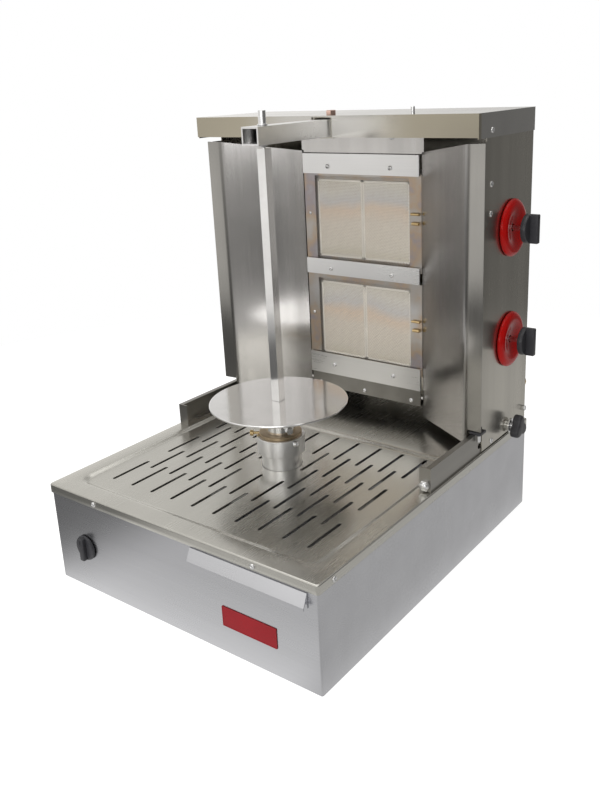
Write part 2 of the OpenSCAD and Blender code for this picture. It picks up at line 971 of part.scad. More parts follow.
module arm_clamp_bolt() {
    color("rosybrown") {
        rod_z(arm_z1 + slip, hood_top + cut, stem_r, 0, clamp_y);
        rod_z(hood_top + 0.1, hood_top + 7, 8, 0, clamp_y, $fn = 6);
    }
}

module top_pin() {
    color(POLISHED) {
        rod_z(614, 637, 3);
        rod_z(636.5, 683, pin_r);
        translate([0, 0, 683]) cylinder(r1 = pin_r, r2 = pin_r - 1, h = 2);
        rod_z(arm_z1 + slip, arm_z1 + 2.3, pin_r + 2);
    }
}

// ---- gas controls ----

module valve_stem(z) {
    color(POLISHED) rod_x(stem_x0, stem_x1, stem_r, valve_y, z);
}

module gas_knob(z) {
    color(BLACK) difference() {
        union() {
            rod_x(knob_x0, knob_x0 + 8, knob_r, valve_y, z);
            block([knob_x0 + 7, valve_y - 4.5, z - knob_r], [knob_x1, valve_y + 4.5, z + knob_r]);
        }
        rod_x(knob_x0 - cut, stem_x1 + slip, stem_r + 0.05, valve_y, z);
    }
}

module upper_valve_stem() {
    valve_stem(upper_z);
}

module lower_valve_stem() {
    valve_stem(lower_z);
}

module upper_gas_knob() {
    gas_knob(upper_z);
}

module lower_gas_knob() {
    gas_knob(lower_z);
}

// Three-lobed knob on a stud that clamps the tower to its rail
module lock_knob() {
    color(BLACK) {
        rod_x(262, 276, 13, lock_y, lock_z);
        for (a = [90, 210, 330]) {
            rod_x(263, 275, 9, lock_y + 12 * cos(a), lock_z + 12 * sin(a));
        }
    }
    color(POLISHED) {
        rod_x(242, 263, stem_r, lock_y, lock_z);
        rod_x(241, rail_x0 - slip, 7, lock_y, lock_z);
    }
}

bottom_panel();
body_wrap();
rear_panel();
name_plate();
slotted_top();
drain_apron();
left_rail();
right_rail();
base_fasteners();
gearbox_case();
gearbox_lid();
motor();
spindle_housing();
lower_bush();
upper_bush();
bush_screws();
switch_body();
cable_gland();
drawer_runners();
grease_drawer();
switch_knob();
main_gear();
drive_shaft();
drive_hub();
hub_bolt();
skewer();
meat_disc();
disc_screw();
motor_pinion();
tower_side_left();
tower_side_right();
tower_back();
hood();
left_wing();
right_wing();
top_panel();
burner_strips();
lower_crossbar();
upper_burner_box();
lower_burner_box();
upper_tiles();
lower_tiles();
upper_mesh();
lower_mesh();
thermocouples();
gas_manifold();
gas_valves();
injector_pipes();
knob_bezels();
glides();
tower_fasteners();
arm_guide();
arm_tube();
arm_clamp_bolt();
top_pin();
upper_valve_stem();
lower_valve_stem();
upper_gas_knob();
lower_gas_knob();
lock_knob();
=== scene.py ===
"""Looks of the countertop gas vertical rotisserie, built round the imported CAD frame.

The frame is in metres: +X right, -Y to the cook, +Z up, and the origin on the skewer's axis
under the base. Meshes are drawn in millimetres, at the CAD model's sizes, and piece() scales them.
"""

import json
import math

import bmesh
import bpy
from mathutils import Matrix, Vector, noise


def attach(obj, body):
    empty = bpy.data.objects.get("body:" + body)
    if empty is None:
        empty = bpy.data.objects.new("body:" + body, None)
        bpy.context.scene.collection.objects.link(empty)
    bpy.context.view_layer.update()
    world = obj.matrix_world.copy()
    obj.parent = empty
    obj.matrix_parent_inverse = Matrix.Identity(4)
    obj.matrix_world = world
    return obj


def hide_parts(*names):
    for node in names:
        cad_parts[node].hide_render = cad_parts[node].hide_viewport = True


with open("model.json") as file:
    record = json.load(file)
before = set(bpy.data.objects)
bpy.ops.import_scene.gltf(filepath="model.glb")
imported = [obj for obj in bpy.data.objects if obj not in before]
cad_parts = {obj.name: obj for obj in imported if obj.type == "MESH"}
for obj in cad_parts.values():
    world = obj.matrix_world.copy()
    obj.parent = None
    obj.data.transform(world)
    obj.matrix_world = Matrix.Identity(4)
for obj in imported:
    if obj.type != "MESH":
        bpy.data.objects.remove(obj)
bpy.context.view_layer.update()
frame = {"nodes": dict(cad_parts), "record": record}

MM = 0.001

# Places in millimetres that several pieces or finishes share
TRAY_TOP = 158.0
LIP_X, LIP_FRONT, LIP_BACK = 252.5, -248.5, 352.5
BURNERS = {"upper": 496.0, "lower": 320.0}
BURNER_PITCH = BURNERS["upper"] - BURNERS["lower"]
VALVE_Y = 273.0
LOCK_Y, LOCK_Z = 278.5, 171.4
WING_FOLD, WING_EDGE = (231, 163), (259.5, 160.5)
FLANGE_FOOT, FLANGE_HEAD = 202.5, 629
RIGHT = (1, 0, 0)
TO_COOK = (0, -1, 0)


# ---------------------------------------------------------------- materials

class Graph:
    """A material's node tree, with short calls for what the finishes share."""

    def __init__(self, name):
        self.material = bpy.data.materials.new(name)
        self.material.use_nodes = True
        self.tree = self.material.node_tree
        self.shader = self.tree.nodes["Principled BSDF"]
        self.coords = self.node("ShaderNodeTexCoord").outputs["Object"]

    def node(self, kind, inputs=None, **settings):
        made = self.tree.nodes.new(kind)
        for key, value in settings.items():
            setattr(made, key, value)
        for key, value in (inputs or {}).items():
            self.put(made.inputs[key], value)
        return made

    def put(self, socket, value):
        if isinstance(value, bpy.types.NodeSocket):
            self.tree.links.new(value, socket)
        else:
            socket.default_value = value

    def constants(self, **values):
        """Sets numbers and colours on the shader's own sockets."""
        for key, value in values.items():
            self.shader.inputs[key.replace("_", " ").title().replace("Ior", "IOR")].default_value = value

    def stretch(self, scale):
        return self.node("ShaderNodeMapping", {"Vector": self.coords, "Scale": scale}).outputs[0]

    def noise(self, scale, vector=None, detail=3.0, rough=0.55):
        made = self.node("ShaderNodeTexNoise", {
            "Vector": vector or self.coords, "Scale": scale, "Detail": detail, "Roughness": rough})
        return made.outputs["Fac"]

    def math(self, operation, a, b=0.0, clamp=False):
        return self.node("ShaderNodeMath", {0: a, 1: b}, operation=operation, use_clamp=clamp).outputs[0]

    def remap(self, value, lo, hi, to_lo=0.0, to_hi=1.0):
        made = self.node("ShaderNodeMapRange", {
            "Value": value, "From Min": lo, "From Max": hi, "To Min": to_lo, "To Max": to_hi})
        return made.outputs[0]

    def blend(self, factor, a, b, mode="MIX"):
        made = self.node("ShaderNodeMix", data_type="RGBA", blend_type=mode)
        self.put(made.inputs["Factor"], factor)
        self.put(made.inputs[6], a)
        self.put(made.inputs[7], b)
        return made.outputs[2]

    def ramp(self, value, stops):
        made = self.node("ShaderNodeValToRGB", {"Fac": value})
        elements = made.color_ramp.elements
        while len(elements) < len(stops):
            elements.new(0.5)
        for element, (place, color) in zip(elements, stops):
            element.position = place
            element.color = color
        return made.outputs[0]

    def soft(self, value, low, high, strength=1.0):
        """Smooth step from 0 at low to strength at high."""
        made = self.node("ShaderNodeMapRange", {
            "Value": value, "From Min": low, "From Max": high, "To Max": strength},
            interpolation_type="SMOOTHSTEP")
        return made.outputs[0]

    def axis(self, index):
        return self.node("ShaderNodeSeparateXYZ", {0: self.coords}).outputs[index]

    def bump(self, height, strength, distance=MM, under=None):
        made = self.node("ShaderNodeBump", {"Height": height, "Strength": strength, "Distance": distance})
        if under is not None:
            self.put(made.inputs["Normal"], under)
        return made.outputs[0]

    def finish(self, color=None, roughness=None, normal=None):
        for key, value in (("Base Color", color), ("Roughness", roughness), ("Normal", normal)):
            if value is not None:
                self.put(self.shader.inputs[key], value)
        return self.material


def rgb(r, g, b):
    return (r, g, b, 1.0)


def shade(color, factor):
    return rgb(*(channel * factor for channel in color[:3]))


GRAIN = {"x": (4, 900, 900), "y": (900, 4, 900), "z": (900, 900, 4)}
BANDS = {"x": (0.6, 22, 22), "y": (22, 0.6, 22), "z": (22, 22, 0.6)}


def steel(name, color, roughness, grain="z", band=0.10, smudge=0.5, aniso=0.5, wave=0.25, end_shade=None,
          flange_shade=None):
    """Stainless sheet: a fine grain along one axis, broad bands, smears of handling and slight dents.

    The end_shade colour is painted shade: a darker, browner colour towards the ends of the face towards the
    meat,
    and the flange colour is painted shade: a darker colour on a wing beyond its fold, standing in for the
    dark reflection there.
    """
    g = Graph(name)
    fine = g.noise(1.0, g.stretch(GRAIN[grain]), detail=4)
    bands = g.noise(1.0, g.stretch(BANDS[grain]), detail=2)
    smears = g.noise(7.0, detail=5, rough=0.62)
    dents = g.noise(5.0, detail=1)
    tone = g.math("ADD", g.remap(fine, 0.3, 0.7, -0.02, 0.02), g.remap(bands, 0.3, 0.7, -band, band))
    bright = g.math("ADD", tone, 1.0)
    base = g.blend(1.0, color, g.node("ShaderNodeCombineColor", {0: bright, 1: bright, 2: bright}).outputs[0],
                   "MULTIPLY")
    # Painted shade: the ends of the hood's front face are darkened towards a browner colour.
    if end_shade:
        ends = g.soft(g.math("ABSOLUTE", g.axis(0)), 0.05, 0.17)
        end_shade_mask = g.math("MULTIPLY", g.soft(g.axis(1), 0.150, 0.140), g.remap(ends, 0.0, 1.0, 0.15, 1.0))
        base = g.blend(end_shade_mask, base, end_shade)
    # Painted shade: the wing beyond its fold takes a darker colour, standing in for the dark reflection
    # there.
    if flange_shade:
        fold = WING_FOLD[0] * MM
        base = g.blend(g.soft(g.math("ABSOLUTE", g.axis(0)), fold - 2 * MM, fold + 2 * MM), base, flange_shade)
    rough = g.math("ADD", g.remap(fine, 0.3, 0.7, roughness - 0.02, roughness + 0.02),
                   g.remap(smears, 0.42, 0.70, 0.0, 0.10 * smudge))
    g.constants(metallic=1.0, anisotropic=aniso)
    flat = g.bump(dents, wave, 2 * MM)
    return g.finish(base, rough, g.bump(fine, 0.02, 0.05 * MM, flat))


def heat_tinted(name):
    """Sheet beside the flames: straw, brown and violet oxide over the steel."""
    g = Graph(name)
    patches = g.noise(16.0, detail=4)
    fine = g.noise(1.0, g.stretch(GRAIN["x"]), detail=3)
    color = g.ramp(patches, [(0.30, rgb(0.56, 0.55, 0.54)), (0.45, rgb(0.52, 0.48, 0.44)),
                             (0.54, rgb(0.55, 0.43, 0.32)), (0.61, rgb(0.45, 0.40, 0.41)),
                             (0.70, rgb(0.52, 0.52, 0.53))])
    g.constants(metallic=1.0, anisotropic=0.2)
    return g.finish(color, g.remap(patches, 0.3, 0.7, 0.30, 0.48), g.bump(fine, 0.08, 0.05 * MM))


def polished(name, color, roughness, wear=0.06):
    """Bright turned or plated metal with faint wear."""
    g = Graph(name)
    wear_map = g.noise(38.0, detail=6, rough=0.65)
    fine = g.noise(1.0, g.stretch((60, 60, 1600)), detail=2)
    g.constants(metallic=1.0)
    return g.finish(g.blend(g.remap(wear_map, 0.35, 0.75, 0.0, 0.5), color, shade(color, 0.86)),
                    g.remap(wear_map, 0.35, 0.75, roughness, roughness + wear),
                    g.bump(fine, 0.04, 0.04 * MM))


def plastic(name, color, roughness=0.42):
    """Moulded plastic with a fine spark-eroded texture."""
    g = Graph(name)
    grit = g.noise(1400.0, detail=2)
    dust = g.noise(30.0, detail=5)
    g.constants(specular_ior_level=0.45)
    return g.finish(g.blend(g.remap(dust, 0.5, 0.75, 0.0, 0.35), color, shade(color, 1.7)),
                    g.remap(dust, 0.3, 0.7, roughness - 0.06, roughness + 0.08),
                    g.bump(grit, 0.12, 0.05 * MM))


def enamel(name, color):
    """Thick gloss enamel with a slightly uneven tone, gloss and surface."""
    g = Graph(name)
    flow = g.noise(45.0, detail=2)
    tone = g.noise(12.0, detail=3)
    g.constants(specular_ior_level=0.12, coat_weight=0.22, coat_roughness=0.03)
    return g.finish(g.blend(g.remap(tone, 0.35, 0.7, 0.0, 0.7), color, shade(color, 0.72)),
                    g.remap(flow, 0.3, 0.7, 0.12, 0.20), g.bump(flow, 0.10, 0.3 * MM))


def cast_metal(name, color):
    g = Graph(name)
    lumps = g.noise(220.0, detail=4)
    dirt = g.noise(14.0, detail=5)
    g.constants(metallic=0.9)
    return g.finish(g.blend(g.remap(dirt, 0.4, 0.7), color, shade(color, 0.6)),
                    g.remap(dirt, 0.3, 0.7, 0.42, 0.62), g.bump(lumps, 0.35, 0.3 * MM))


def ceramic(name):
    """Porous burner plate: a lattice of flame holes, with grey, rosy and cream bands from the flames."""
    g = Graph(name)
    holes = g.node("ShaderNodeTexVoronoi", {
        "Vector": g.stretch((1, 0, 1)), "Scale": 420.0, "Randomness": 0.0}, feature="F1")
    hole = g.remap(holes.outputs["Distance"], 0.24, 0.36)
    patch = g.noise(9.0, detail=3)
    # The bands start just under a tile's foot, and repeat at the next burner
    foot = (BURNERS["lower"] - 66) * MM
    height = g.math("MULTIPLY", g.math("SUBTRACT", g.axis(2), foot), 1 / (BURNER_PITCH * MM))
    row = g.math("FRACT", g.math("ADD", height, g.remap(patch, 0.3, 0.7, -0.07, 0.07)))
    warm = g.ramp(row, [(0.0, rgb(0.80, 0.76, 0.62)), (0.10, rgb(0.92, 0.87, 0.76)),
                        (0.34, rgb(0.93, 0.86, 0.75)), (0.45, rgb(0.95, 0.78, 0.62)),
                        (0.53, rgb(0.78, 0.78, 0.78)), (0.66, rgb(0.90, 0.88, 0.80)),
                        (0.76, rgb(0.80, 0.76, 0.66))])
    g.constants(specular_ior_level=0.2)
    # The flame holes are painted in a darker colour: painted shade in the holes.
    return g.finish(g.blend(hole, shade(rgb(0.62, 0.52, 0.42), 0.7), warm),
                    g.remap(patch, 0.3, 0.7, 0.78, 0.92), g.bump(hole, 0.6, 0.4 * MM))


FINISH = {
    "inner_steel": steel("inner_steel", rgb(0.55, 0.55, 0.53), 0.34, "y", smudge=0.8),
    "front_steel": steel("front_steel", rgb(0.57, 0.575, 0.60), 0.24, "x", band=0.03, aniso=0.2),
    # The tray steel's warm olive tint is a painted reflection.
    "tray_steel": steel("tray_steel", rgb(0.57, 0.56, 0.52), 0.24, "y", band=0.04, aniso=0.2, wave=0.18),
    "dark_steel": steel("dark_steel", rgb(0.30, 0.29, 0.27), 0.30, "y"),
    "tower_steel": steel("tower_steel", rgb(0.50, 0.48, 0.43), 0.24, "z", band=0.10, aniso=0.4),
    # The wing steel carries painted shade beyond its fold.
    "wing_steel": steel("wing_steel", rgb(0.60, 0.585, 0.57), 0.18, "z", band=0.09, aniso=0.4, wave=0.12,
                        flange_shade=rgb(0.37, 0.36, 0.34)),
    "strip_steel": steel("strip_steel", rgb(0.86, 0.855, 0.85), 0.28, "x", band=0.03, aniso=0.3),
    # The hood's steel is painted lighter than the tower's: painted light, with painted shade at the ends of
    # its front face.
    "hood_steel_painted_light": steel("hood_steel_painted_light", rgb(0.64, 0.63, 0.61), 0.16, "x", band=0.03, aniso=0.2,
                        end_shade=rgb(0.47, 0.43, 0.34)),
    "tinted_steel": heat_tinted("tinted_steel"),
    "mesh_wire": polished("mesh_wire", rgb(0.66, 0.63, 0.60), 0.34, wear=0.12),
    "polished": polished("polished", rgb(0.80, 0.795, 0.79), 0.10),
    "bright_satin": polished("bright_satin", rgb(0.92, 0.92, 0.93), 0.32),
    "plated": polished("plated", rgb(0.78, 0.78, 0.78), 0.16),
    "gear_steel": polished("gear_steel", rgb(0.42, 0.42, 0.43), 0.32),
    "cast": cast_metal("cast", rgb(0.45, 0.46, 0.47)),
    "black_paint": plastic("black_paint", rgb(0.03, 0.03, 0.032), 0.35),
    "black_plastic": plastic("black_plastic", rgb(0.030, 0.030, 0.034), 0.36),
    "red_enamel": enamel("red_enamel", rgb(0.52, 0.004, 0.003)),
    "plate_enamel": enamel("plate_enamel", rgb(0.24, 0.003, 0.008)),
    "bronze": polished("bronze", rgb(0.46, 0.36, 0.24), 0.28, wear=0.15),
    "brass": polished("brass", rgb(0.70, 0.52, 0.27), 0.26, wear=0.12),
    "copper_bolt": polished("copper_bolt", rgb(0.72, 0.50, 0.42), 0.25, wear=0.12),
    "ceramic": ceramic("ceramic"),
    "ceramic_rim": plastic("ceramic_rim", rgb(0.86, 0.82, 0.74), 0.8),
    "white_mark": plastic("white_mark", rgb(0.75, 0.75, 0.73), 0.5),
}
SLOT_OF = {part["node"]: part["material_slot"] for part in frame["record"]["subparts"]}
BODY_OF = {node: body for body, nodes in frame["record"]["behaviour"]["bodies"].items() for node in nodes}


# ---------------------------------------------------------------- mesh tools

def paint(obj, finish):
    obj.data.materials.clear()
    obj.data.materials.append(FINISH[finish])


def smooth(obj, angle=35):
    """Smooth shading that stays sharp across real corners."""
    for face in obj.data.polygons:
        face.use_smooth = True
    obj.data.update()
    limit = math.radians(angle)
    mesh = bmesh.new()
    mesh.from_mesh(obj.data)
    for edge in mesh.edges:
        edge.smooth = len(edge.link_faces) == 2 and edge.calc_face_angle(0) < limit
    mesh.to_mesh(obj.data)
    mesh.free()


def piece(name, mesh, node, finish=None, replace=True, angle=35):
    """Turns a bmesh in millimetres into an object that rides with a CAD node's body."""
    bmesh.ops.recalc_face_normals(mesh, faces=mesh.faces)
    bmesh.ops.scale(mesh, vec=(MM, MM, MM), verts=mesh.verts)
    data = bpy.data.meshes.new(name)
    mesh.to_mesh(data)
    mesh.free()
    obj = bpy.data.objects.new(name, data)
    bpy.context.collection.objects.link(obj)
    slot = SLOT_OF[node]
    paint(obj, finish or slot)
    smooth(obj, angle)
    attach(obj, BODY_OF[node])
    if replace:
        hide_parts(node)
    return obj


def bevel(obj, width, segments=2, angle=40):
    made = obj.modifiers.new("edge", "BEVEL")
    made.width = width
    made.segments = segments
    made.limit_method = "ANGLE"
    made.angle_limit = math.radians(angle)
    made.use_clamp_overlap = True
    made.harden_normals = True


def basis(axis):
    """Turns +Z into that axis."""
    return Vector(axis).to_track_quat("Z", "Y").to_matrix().to_4x4()


def bearing(degrees):
    """Level direction, anticlockwise from +X."""
    return Vector((math.cos(math.radians(degrees)), math.sin(math.radians(degrees)), 0))


def lathe(mesh, profile, place=(0, 0, 0), axis=(0, 0, 1), steps=64):
    """Turns (radius, height) points about an axis. A profile that starts and ends at radius 0 closes."""
    move = Matrix.Translation(Vector(place)) @ basis(axis)
    rings = []
    for radius, height in profile:
        if radius < 1e-7:
            rings.append([mesh.verts.new(move @ Vector((0, 0, height)))])
        else:
            rings.append([mesh.verts.new(move @ Vector((radius * math.cos(a), radius * math.sin(a), height)))
                          for a in (2 * math.pi * i / steps for i in range(steps))])
    for low, high in zip(rings, rings[1:]):
        for i in range(steps):
            j = (i + 1) % steps
            corners = [low[i % len(low)], low[j % len(low)], high[j % len(high)], high[i % len(high)]]
            unique = list(dict.fromkeys(corners))
            if len(unique) > 2:
                mesh.faces.new(unique)


def rounded(points, radius, steps=4):
    """A profile whose inner corners are rounded with a small radius."""
    out = [points[0]]
    for a, b, c in zip(points, points[1:], points[2:]):
        before, here, after = Vector(a), Vector(b), Vector(c)
        r = min(radius, (before - here).length / 2.1, (after - here).length / 2.1)
        start = here + (before - here).normalized() * r
        end = here + (after - here).normalized() * r
        for i in range(steps + 1):
            t = i / steps
            out.append(tuple(start * (1 - t) ** 2 + here * 2 * t * (1 - t) + end * t ** 2))
    return out + [points[-1]]


def block(mesh, low, high, edge=0.0, segments=2):
    """Box between two corners, with rounded edges."""
    made = bmesh.ops.create_cube(mesh, size=1.0)["verts"]
    low, high = Vector(low), Vector(high)
    for v in made:
        v.co = Vector(((low[i] + high[i]) / 2 + v.co[i] * (high[i] - low[i]) for i in range(3)))
    if edge:
        edges = {e for v in made for e in v.link_edges}
        bmesh.ops.bevel(mesh, geom=list(edges), offset=edge, segments=segments, profile=0.5, affect="EDGES")


def ring_points(half_x, y0, y1, radius, back_radius=None, corner_steps=10, straight_steps=12):
    """Closed rounded rectangle in plan, anticlockwise, always with the same number of points."""
    back_radius = radius if back_radius is None else back_radius
    arcs = []
    for x, y, r, start in ((half_x - radius, y0 + radius, radius, -90),
                           (half_x - back_radius, y1 - back_radius, back_radius, 0),
                           (back_radius - half_x, y1 - back_radius, back_radius, 90),
                           (radius - half_x, y0 + radius, radius, 180)):
        angles = [math.radians(start + 90 * i / corner_steps) for i in range(corner_steps + 1)]
        arcs.append([(x + r * math.cos(a), y + r * math.sin(a)) for a in angles])
    points = []
    for arc, following in zip(arcs, arcs[1:] + arcs[:1]):
        points += arc
        (ax, ay), (bx, by) = arc[-1], following[0]
        points += [(ax + (bx - ax) * i / straight_steps, ay + (by - ay) * i / straight_steps)
                   for i in range(1, straight_steps)]
    return points


def bridge(mesh, rings):
    """Faces between rings of equal length."""
    for low, high in zip(rings, rings[1:]):
        count = len(low)
        for i in range(count):
            j = (i + 1) % count
            mesh.faces.new((low[i], low[j], high[j], high[i]))


def flat_plate(mesh, outline, holes, z_top, thickness, edge, place=Matrix()):
    """Sheet with holes and rounded edges, from a filled 2-D curve."""
    curve = bpy.data.curves.new("plate", "CURVE")
    curve.dimensions = "2D"
    curve.fill_mode = "BOTH"
    curve.extrude = thickness / 2 - edge
    curve.bevel_depth = edge
    curve.bevel_resolution = 1
    curve.offset = -edge
    for points in [outline] + holes:
        spline = curve.splines.new("POLY")
        spline.points.add(len(points) - 1)
        for point, (x, y) in zip(spline.points, points):
            point.co = (x, y, 0, 1)
        spline.use_cyclic_u = True
    obj = bpy.data.objects.new("plate", curve)
    bpy.context.collection.objects.link(obj)
    bpy.context.view_layer.update()
    data = bpy.data.meshes.new_from_object(obj.evaluated_get(bpy.context.evaluated_depsgraph_get()))
    bpy.data.objects.remove(obj)
    data.transform(place @ Matrix.Translation((0, 0, z_top - thickness / 2)))
    mesh.from_mesh(data)


def circle(radius, steps=96):
    return [(radius * math.cos(2 * math.pi * i / steps), radius * math.sin(2 * math.pi * i / steps))
            for i in range(steps)]


def upright(x, y, z):
    """Stands a flat plate up, with its top towards the cook."""
    return Matrix.Translation((x, y, z)) @ Matrix.Rotation(math.pi / 2, 4, "X")


def slot_outline(x, y, length, width, steps=8):
    """Slot along Y with round ends."""
    r, straight = width / 2, (length - width) / 2
    points = []
    for side in (1, -1):
        for i in range(steps + 1):
            a = math.pi * i / steps + (0 if side > 0 else math.pi)
            points.append((x + r * math.cos(a), y + side * straight + r * math.sin(a)))
    return points


def along(x, knots):
    """Value at x on a line through the knots."""
    for (x0, v0), (x1, v1) in zip(knots, knots[1:]):
        if x <= x1:
            return v0 + (v1 - v0) * (x - x0) / (x1 - x0)
    return knots[-1][1]


def wire(mesh, points, radius, sides=4):
    """Thin tube through points that lie about one XZ plane."""
    rings = []
    for i, point in enumerate(points):
        before, after = points[max(i - 1, 0)], points[min(i + 1, len(points) - 1)]
        run = (after - before).normalized()
        across = run.cross(Vector((0, 1, 0))).normalized()
        lift = across.cross(run)
        turns = [math.pi / 4 + 2 * math.pi * k / sides for k in range(sides)]
        rings.append([mesh.verts.new(point + (across * math.cos(t) + lift * math.sin(t)) * radius)
                      for t in turns])
    bridge(mesh, rings)


def pan_head(mesh, place, axis, r, h):
    """Domed screw head with a driver recess."""
    lathe(mesh, [(0, 0), (r, 0), (r, 0.3 * h), (0.9 * r, 0.66 * h), (0.68 * r, 0.9 * h), (0.42 * r, h),
                 (0.34 * r, 0.93 * h), (0.12 * r, 0.45 * h), (0, 0.4 * h)], place, axis, 24)


def hexagon(mesh, place, axis, r, h, dome=0.0):
    """Hexagon head with its corners turned off, and a domed cap if asked."""
    lathe(mesh, [(0, 0), (0.94 * r, 0), (r, 0.12 * h), (r, 0.85 * h), (0.9 * r, h), (0, h)], place, axis, 6)
    if dome:
        cap = [(dome * math.cos(a), h + dome * 0.55 * math.sin(a))
               for a in (math.pi / 2 * i / 8 for i in range(9))]
        lathe(mesh, cap[:-1] + [(0, cap[-1][1])], place, axis, 32)


# ---------------------------------------------------------------- CAD nodes that stay

# Widths of the rounded edges, in millimetres
EDGE = {
    "body_wrap": 0.35, "rear_panel": 0.3, "bottom_panel": 0.3, "grease_drawer": 0.4, "left_rail": 0.4,
    "right_rail": 0.4, "tower_side_left": 0.25, "tower_side_right": 0.25, "tower_back": 0.25,
    "hood": 0.7, "top_panel": 0.25, "burner_strips": 0.35, "lower_crossbar": 0.4,
    "upper_burner_box": 0.3, "lower_burner_box": 0.3, "skewer": 1.0, "arm_tube": 0.8, "arm_guide": 0.5,
    "gearbox_case": 1.5, "gearbox_lid": 0.8, "drain_apron": 0.3, "drawer_runners": 0.3,
    "switch_body": 1.0, "gas_valves": 0.8, "glides": 0.8}
# Nodes whose finish isn't their slot's own; the hood's is a lighter copy of the tower steel, painted light
LOOK = {"hood": "hood_steel_painted_light"}


def finish_cad_nodes():
    for node, obj in frame["nodes"].items():
        paint(obj, LOOK.get(node, SLOT_OF[node]))
        if node in EDGE:
            bevel(obj, EDGE[node] * MM)


# ---------------------------------------------------------------- base

def slot_centres():
    """Rows of 10 and 9 slots alternate, and leave room for the post."""
    middle_y, row_pitch, pitch = -27.9, 57.8, 41.4
    post_half_x, post_half_y = 35, 68
    for row in range(5):
        count = 10 - row % 2
        y = middle_y + (row - 2) * row_pitch
        for i in range(count):
            x = (i - (count - 1) / 2) * pitch
            if abs(x) > post_half_x or abs(y) > post_half_y:
                yield x, y


def slotted_tray():
    """One sheet: a lip turned down all round, and a dished well with the slots."""
    mesh = bmesh.new()
    sheet, lip_foot, bend, well_depth, well_slope = 1.5, 144.0, 2.2, 4.0, 12.0

    def ring(half_x, y0, y1, front, back, z):
        return [mesh.verts.new((x, y, z)) for x, y in ring_points(half_x, y0, y1, front, back)]

    def skirt(inset, z):
        return ring(LIP_X - inset, LIP_FRONT + inset, LIP_BACK - inset, 5 - inset, max(2.5 - inset, 0.6), z)

    rings = [skirt(sheet, TRAY_TOP - 2), skirt(sheet, lip_foot + 0.4), skirt(sheet - 0.4, lip_foot),
             skirt(0.4, lip_foot), skirt(0, lip_foot + 0.4), skirt(0, 150), skirt(0, 155)]
    for i in range(7):
        a = math.pi / 12 * i
        rings.append(skirt(bend * (1 - math.cos(a)), TRAY_TOP - bend + bend * math.sin(a)))
    for i in range(13):
        t = i / 12
        out = 1.0 - well_slope * t
        drop = well_depth * t * t * (3 - 2 * t)
        rings.append(ring(226.5 + out, -219 - out, 137 + out, 25 + out, 25 + out, TRAY_TOP - drop))
    bridge(mesh, rings)
    holes = [slot_outline(x, y, 74, 5.2) for x, y in slot_centres()] + [circle(31.6, 64)]
    flat_plate(mesh, ring_points(216.3, -208.8, 126.8, 14.8), holes, TRAY_TOP - well_depth - 0.02, sheet, 0.2)
    piece("slotted_tray", mesh, "slotted_top", angle=50)


def blank_plate():
    """Plain enamel plate with a raised border and two small screws."""
    mesh = bmesh.new()
    x, z, screw_out = 136, 56, 41
    middle = upright(x, -246, z)
    flat_plate(mesh, ring_points(46, -15, 15, 1.2), [], 0.9, 0.9, 0.2, middle)
    flat_plate(mesh, ring_points(46, -15, 15, 1.2), [ring_points(44.6, -13.6, 13.6, 0.8)[::-1]],
               1.2, 0.8, 0.2, middle)
    for screw_x in (x - screw_out, x + screw_out):
        pan_head(mesh, (screw_x, -246.85, z), TO_COOK, 1.3, 0.35)
    piece("blank_plate", mesh, "name_plate", finish="plate_enamel")


def base_screws():
    """Screws through the tray's lip, and the cap nut on the right rail's end."""
    mesh = bmesh.new()
    screw_z = 150.5
    for side in (1, -1):
        pan_head(mesh, (side * 151, LIP_FRONT, screw_z), TO_COOK, 4, 2.2)
        pan_head(mesh, (side * LIP_X, -216, screw_z), (side, 0, 0), 4, 2.2)
    hexagon(mesh, (240, 26, 167.5), TO_COOK, 8.5, 5.5, 6.3)
    piece("base_screws", mesh, "base_fasteners")


def post():
    """Spindle housing, its flanged bush, the bush's thumb screw and the bolt that clamps the collar."""
    mesh = bmesh.new()
    lathe(mesh, rounded([(20, 190), (20, 204), (37, 204), (37, 177), (31, 176), (31, 69), (44, 69), (44, 65),
                         (17, 65), (17, 150), (20, 190)], 0.8), steps=96)
    piece("post", mesh, "spindle_housing", finish="bright_satin")
    mesh = bmesh.new()
    lathe(mesh, rounded([(12.6, 181), (12.6, 209), (33, 209), (33, 204.05), (20, 204.05), (20, 181),
                         (12.6, 181)], 1.0), steps=96)
    piece("flanged_bush", mesh, "upper_bush")
    mesh = bmesh.new()
    lathe(mesh, [(0, 28), (2.2, 28), (2.2, 41), (3.6, 41.4), (4.5, 42.2), (4.5, 46.2), (3.8, 47),
                 (2, 46.6), (0, 46.6)], (0, 0, 206.5), bearing(217), 32)
    piece("thumb_screw", mesh, "bush_screws", finish="brass")
    mesh = bmesh.new()
    ray, clamp_z = bearing(-15), 198
    lathe(mesh, [(0, 31.5), (2.5, 31.5), (2.5, 38), (0, 38)], (0, 0, clamp_z), ray, 24)
    pan_head(mesh, ray * 37.5 + Vector((0, 0, clamp_z)), ray, 5, 5)
    piece("clamp_screw", mesh, "bush_screws", finish="plated", replace=False)


def switch_dial():
    """Round knob with a grip bar across it and a white mark."""
    mesh = bmesh.new()
    lathe(mesh, [(0, 226), (3, 226), (3, 246.8), (17.8, 246.8), (19.4, 247.4), (19.5, 248.6), (18.6, 250.6),
                 (16.8, 251), (0, 251)], (-183, 0, 70), TO_COOK, 64)
    block(mesh, (-187.5, -258, 52), (-178.5, -249.5, 88), 1.8, 4)
    piece("switch_dial", mesh, "switch_knob")
    mesh = bmesh.new()
    block(mesh, (-183.7, -258.0, 78), (-182.3, -257.6, 86.4), 0.18)
    piece("switch_pointer", mesh, "switch_knob", finish="white_mark", replace=False)


# ---------------------------------------------------------------- spindle

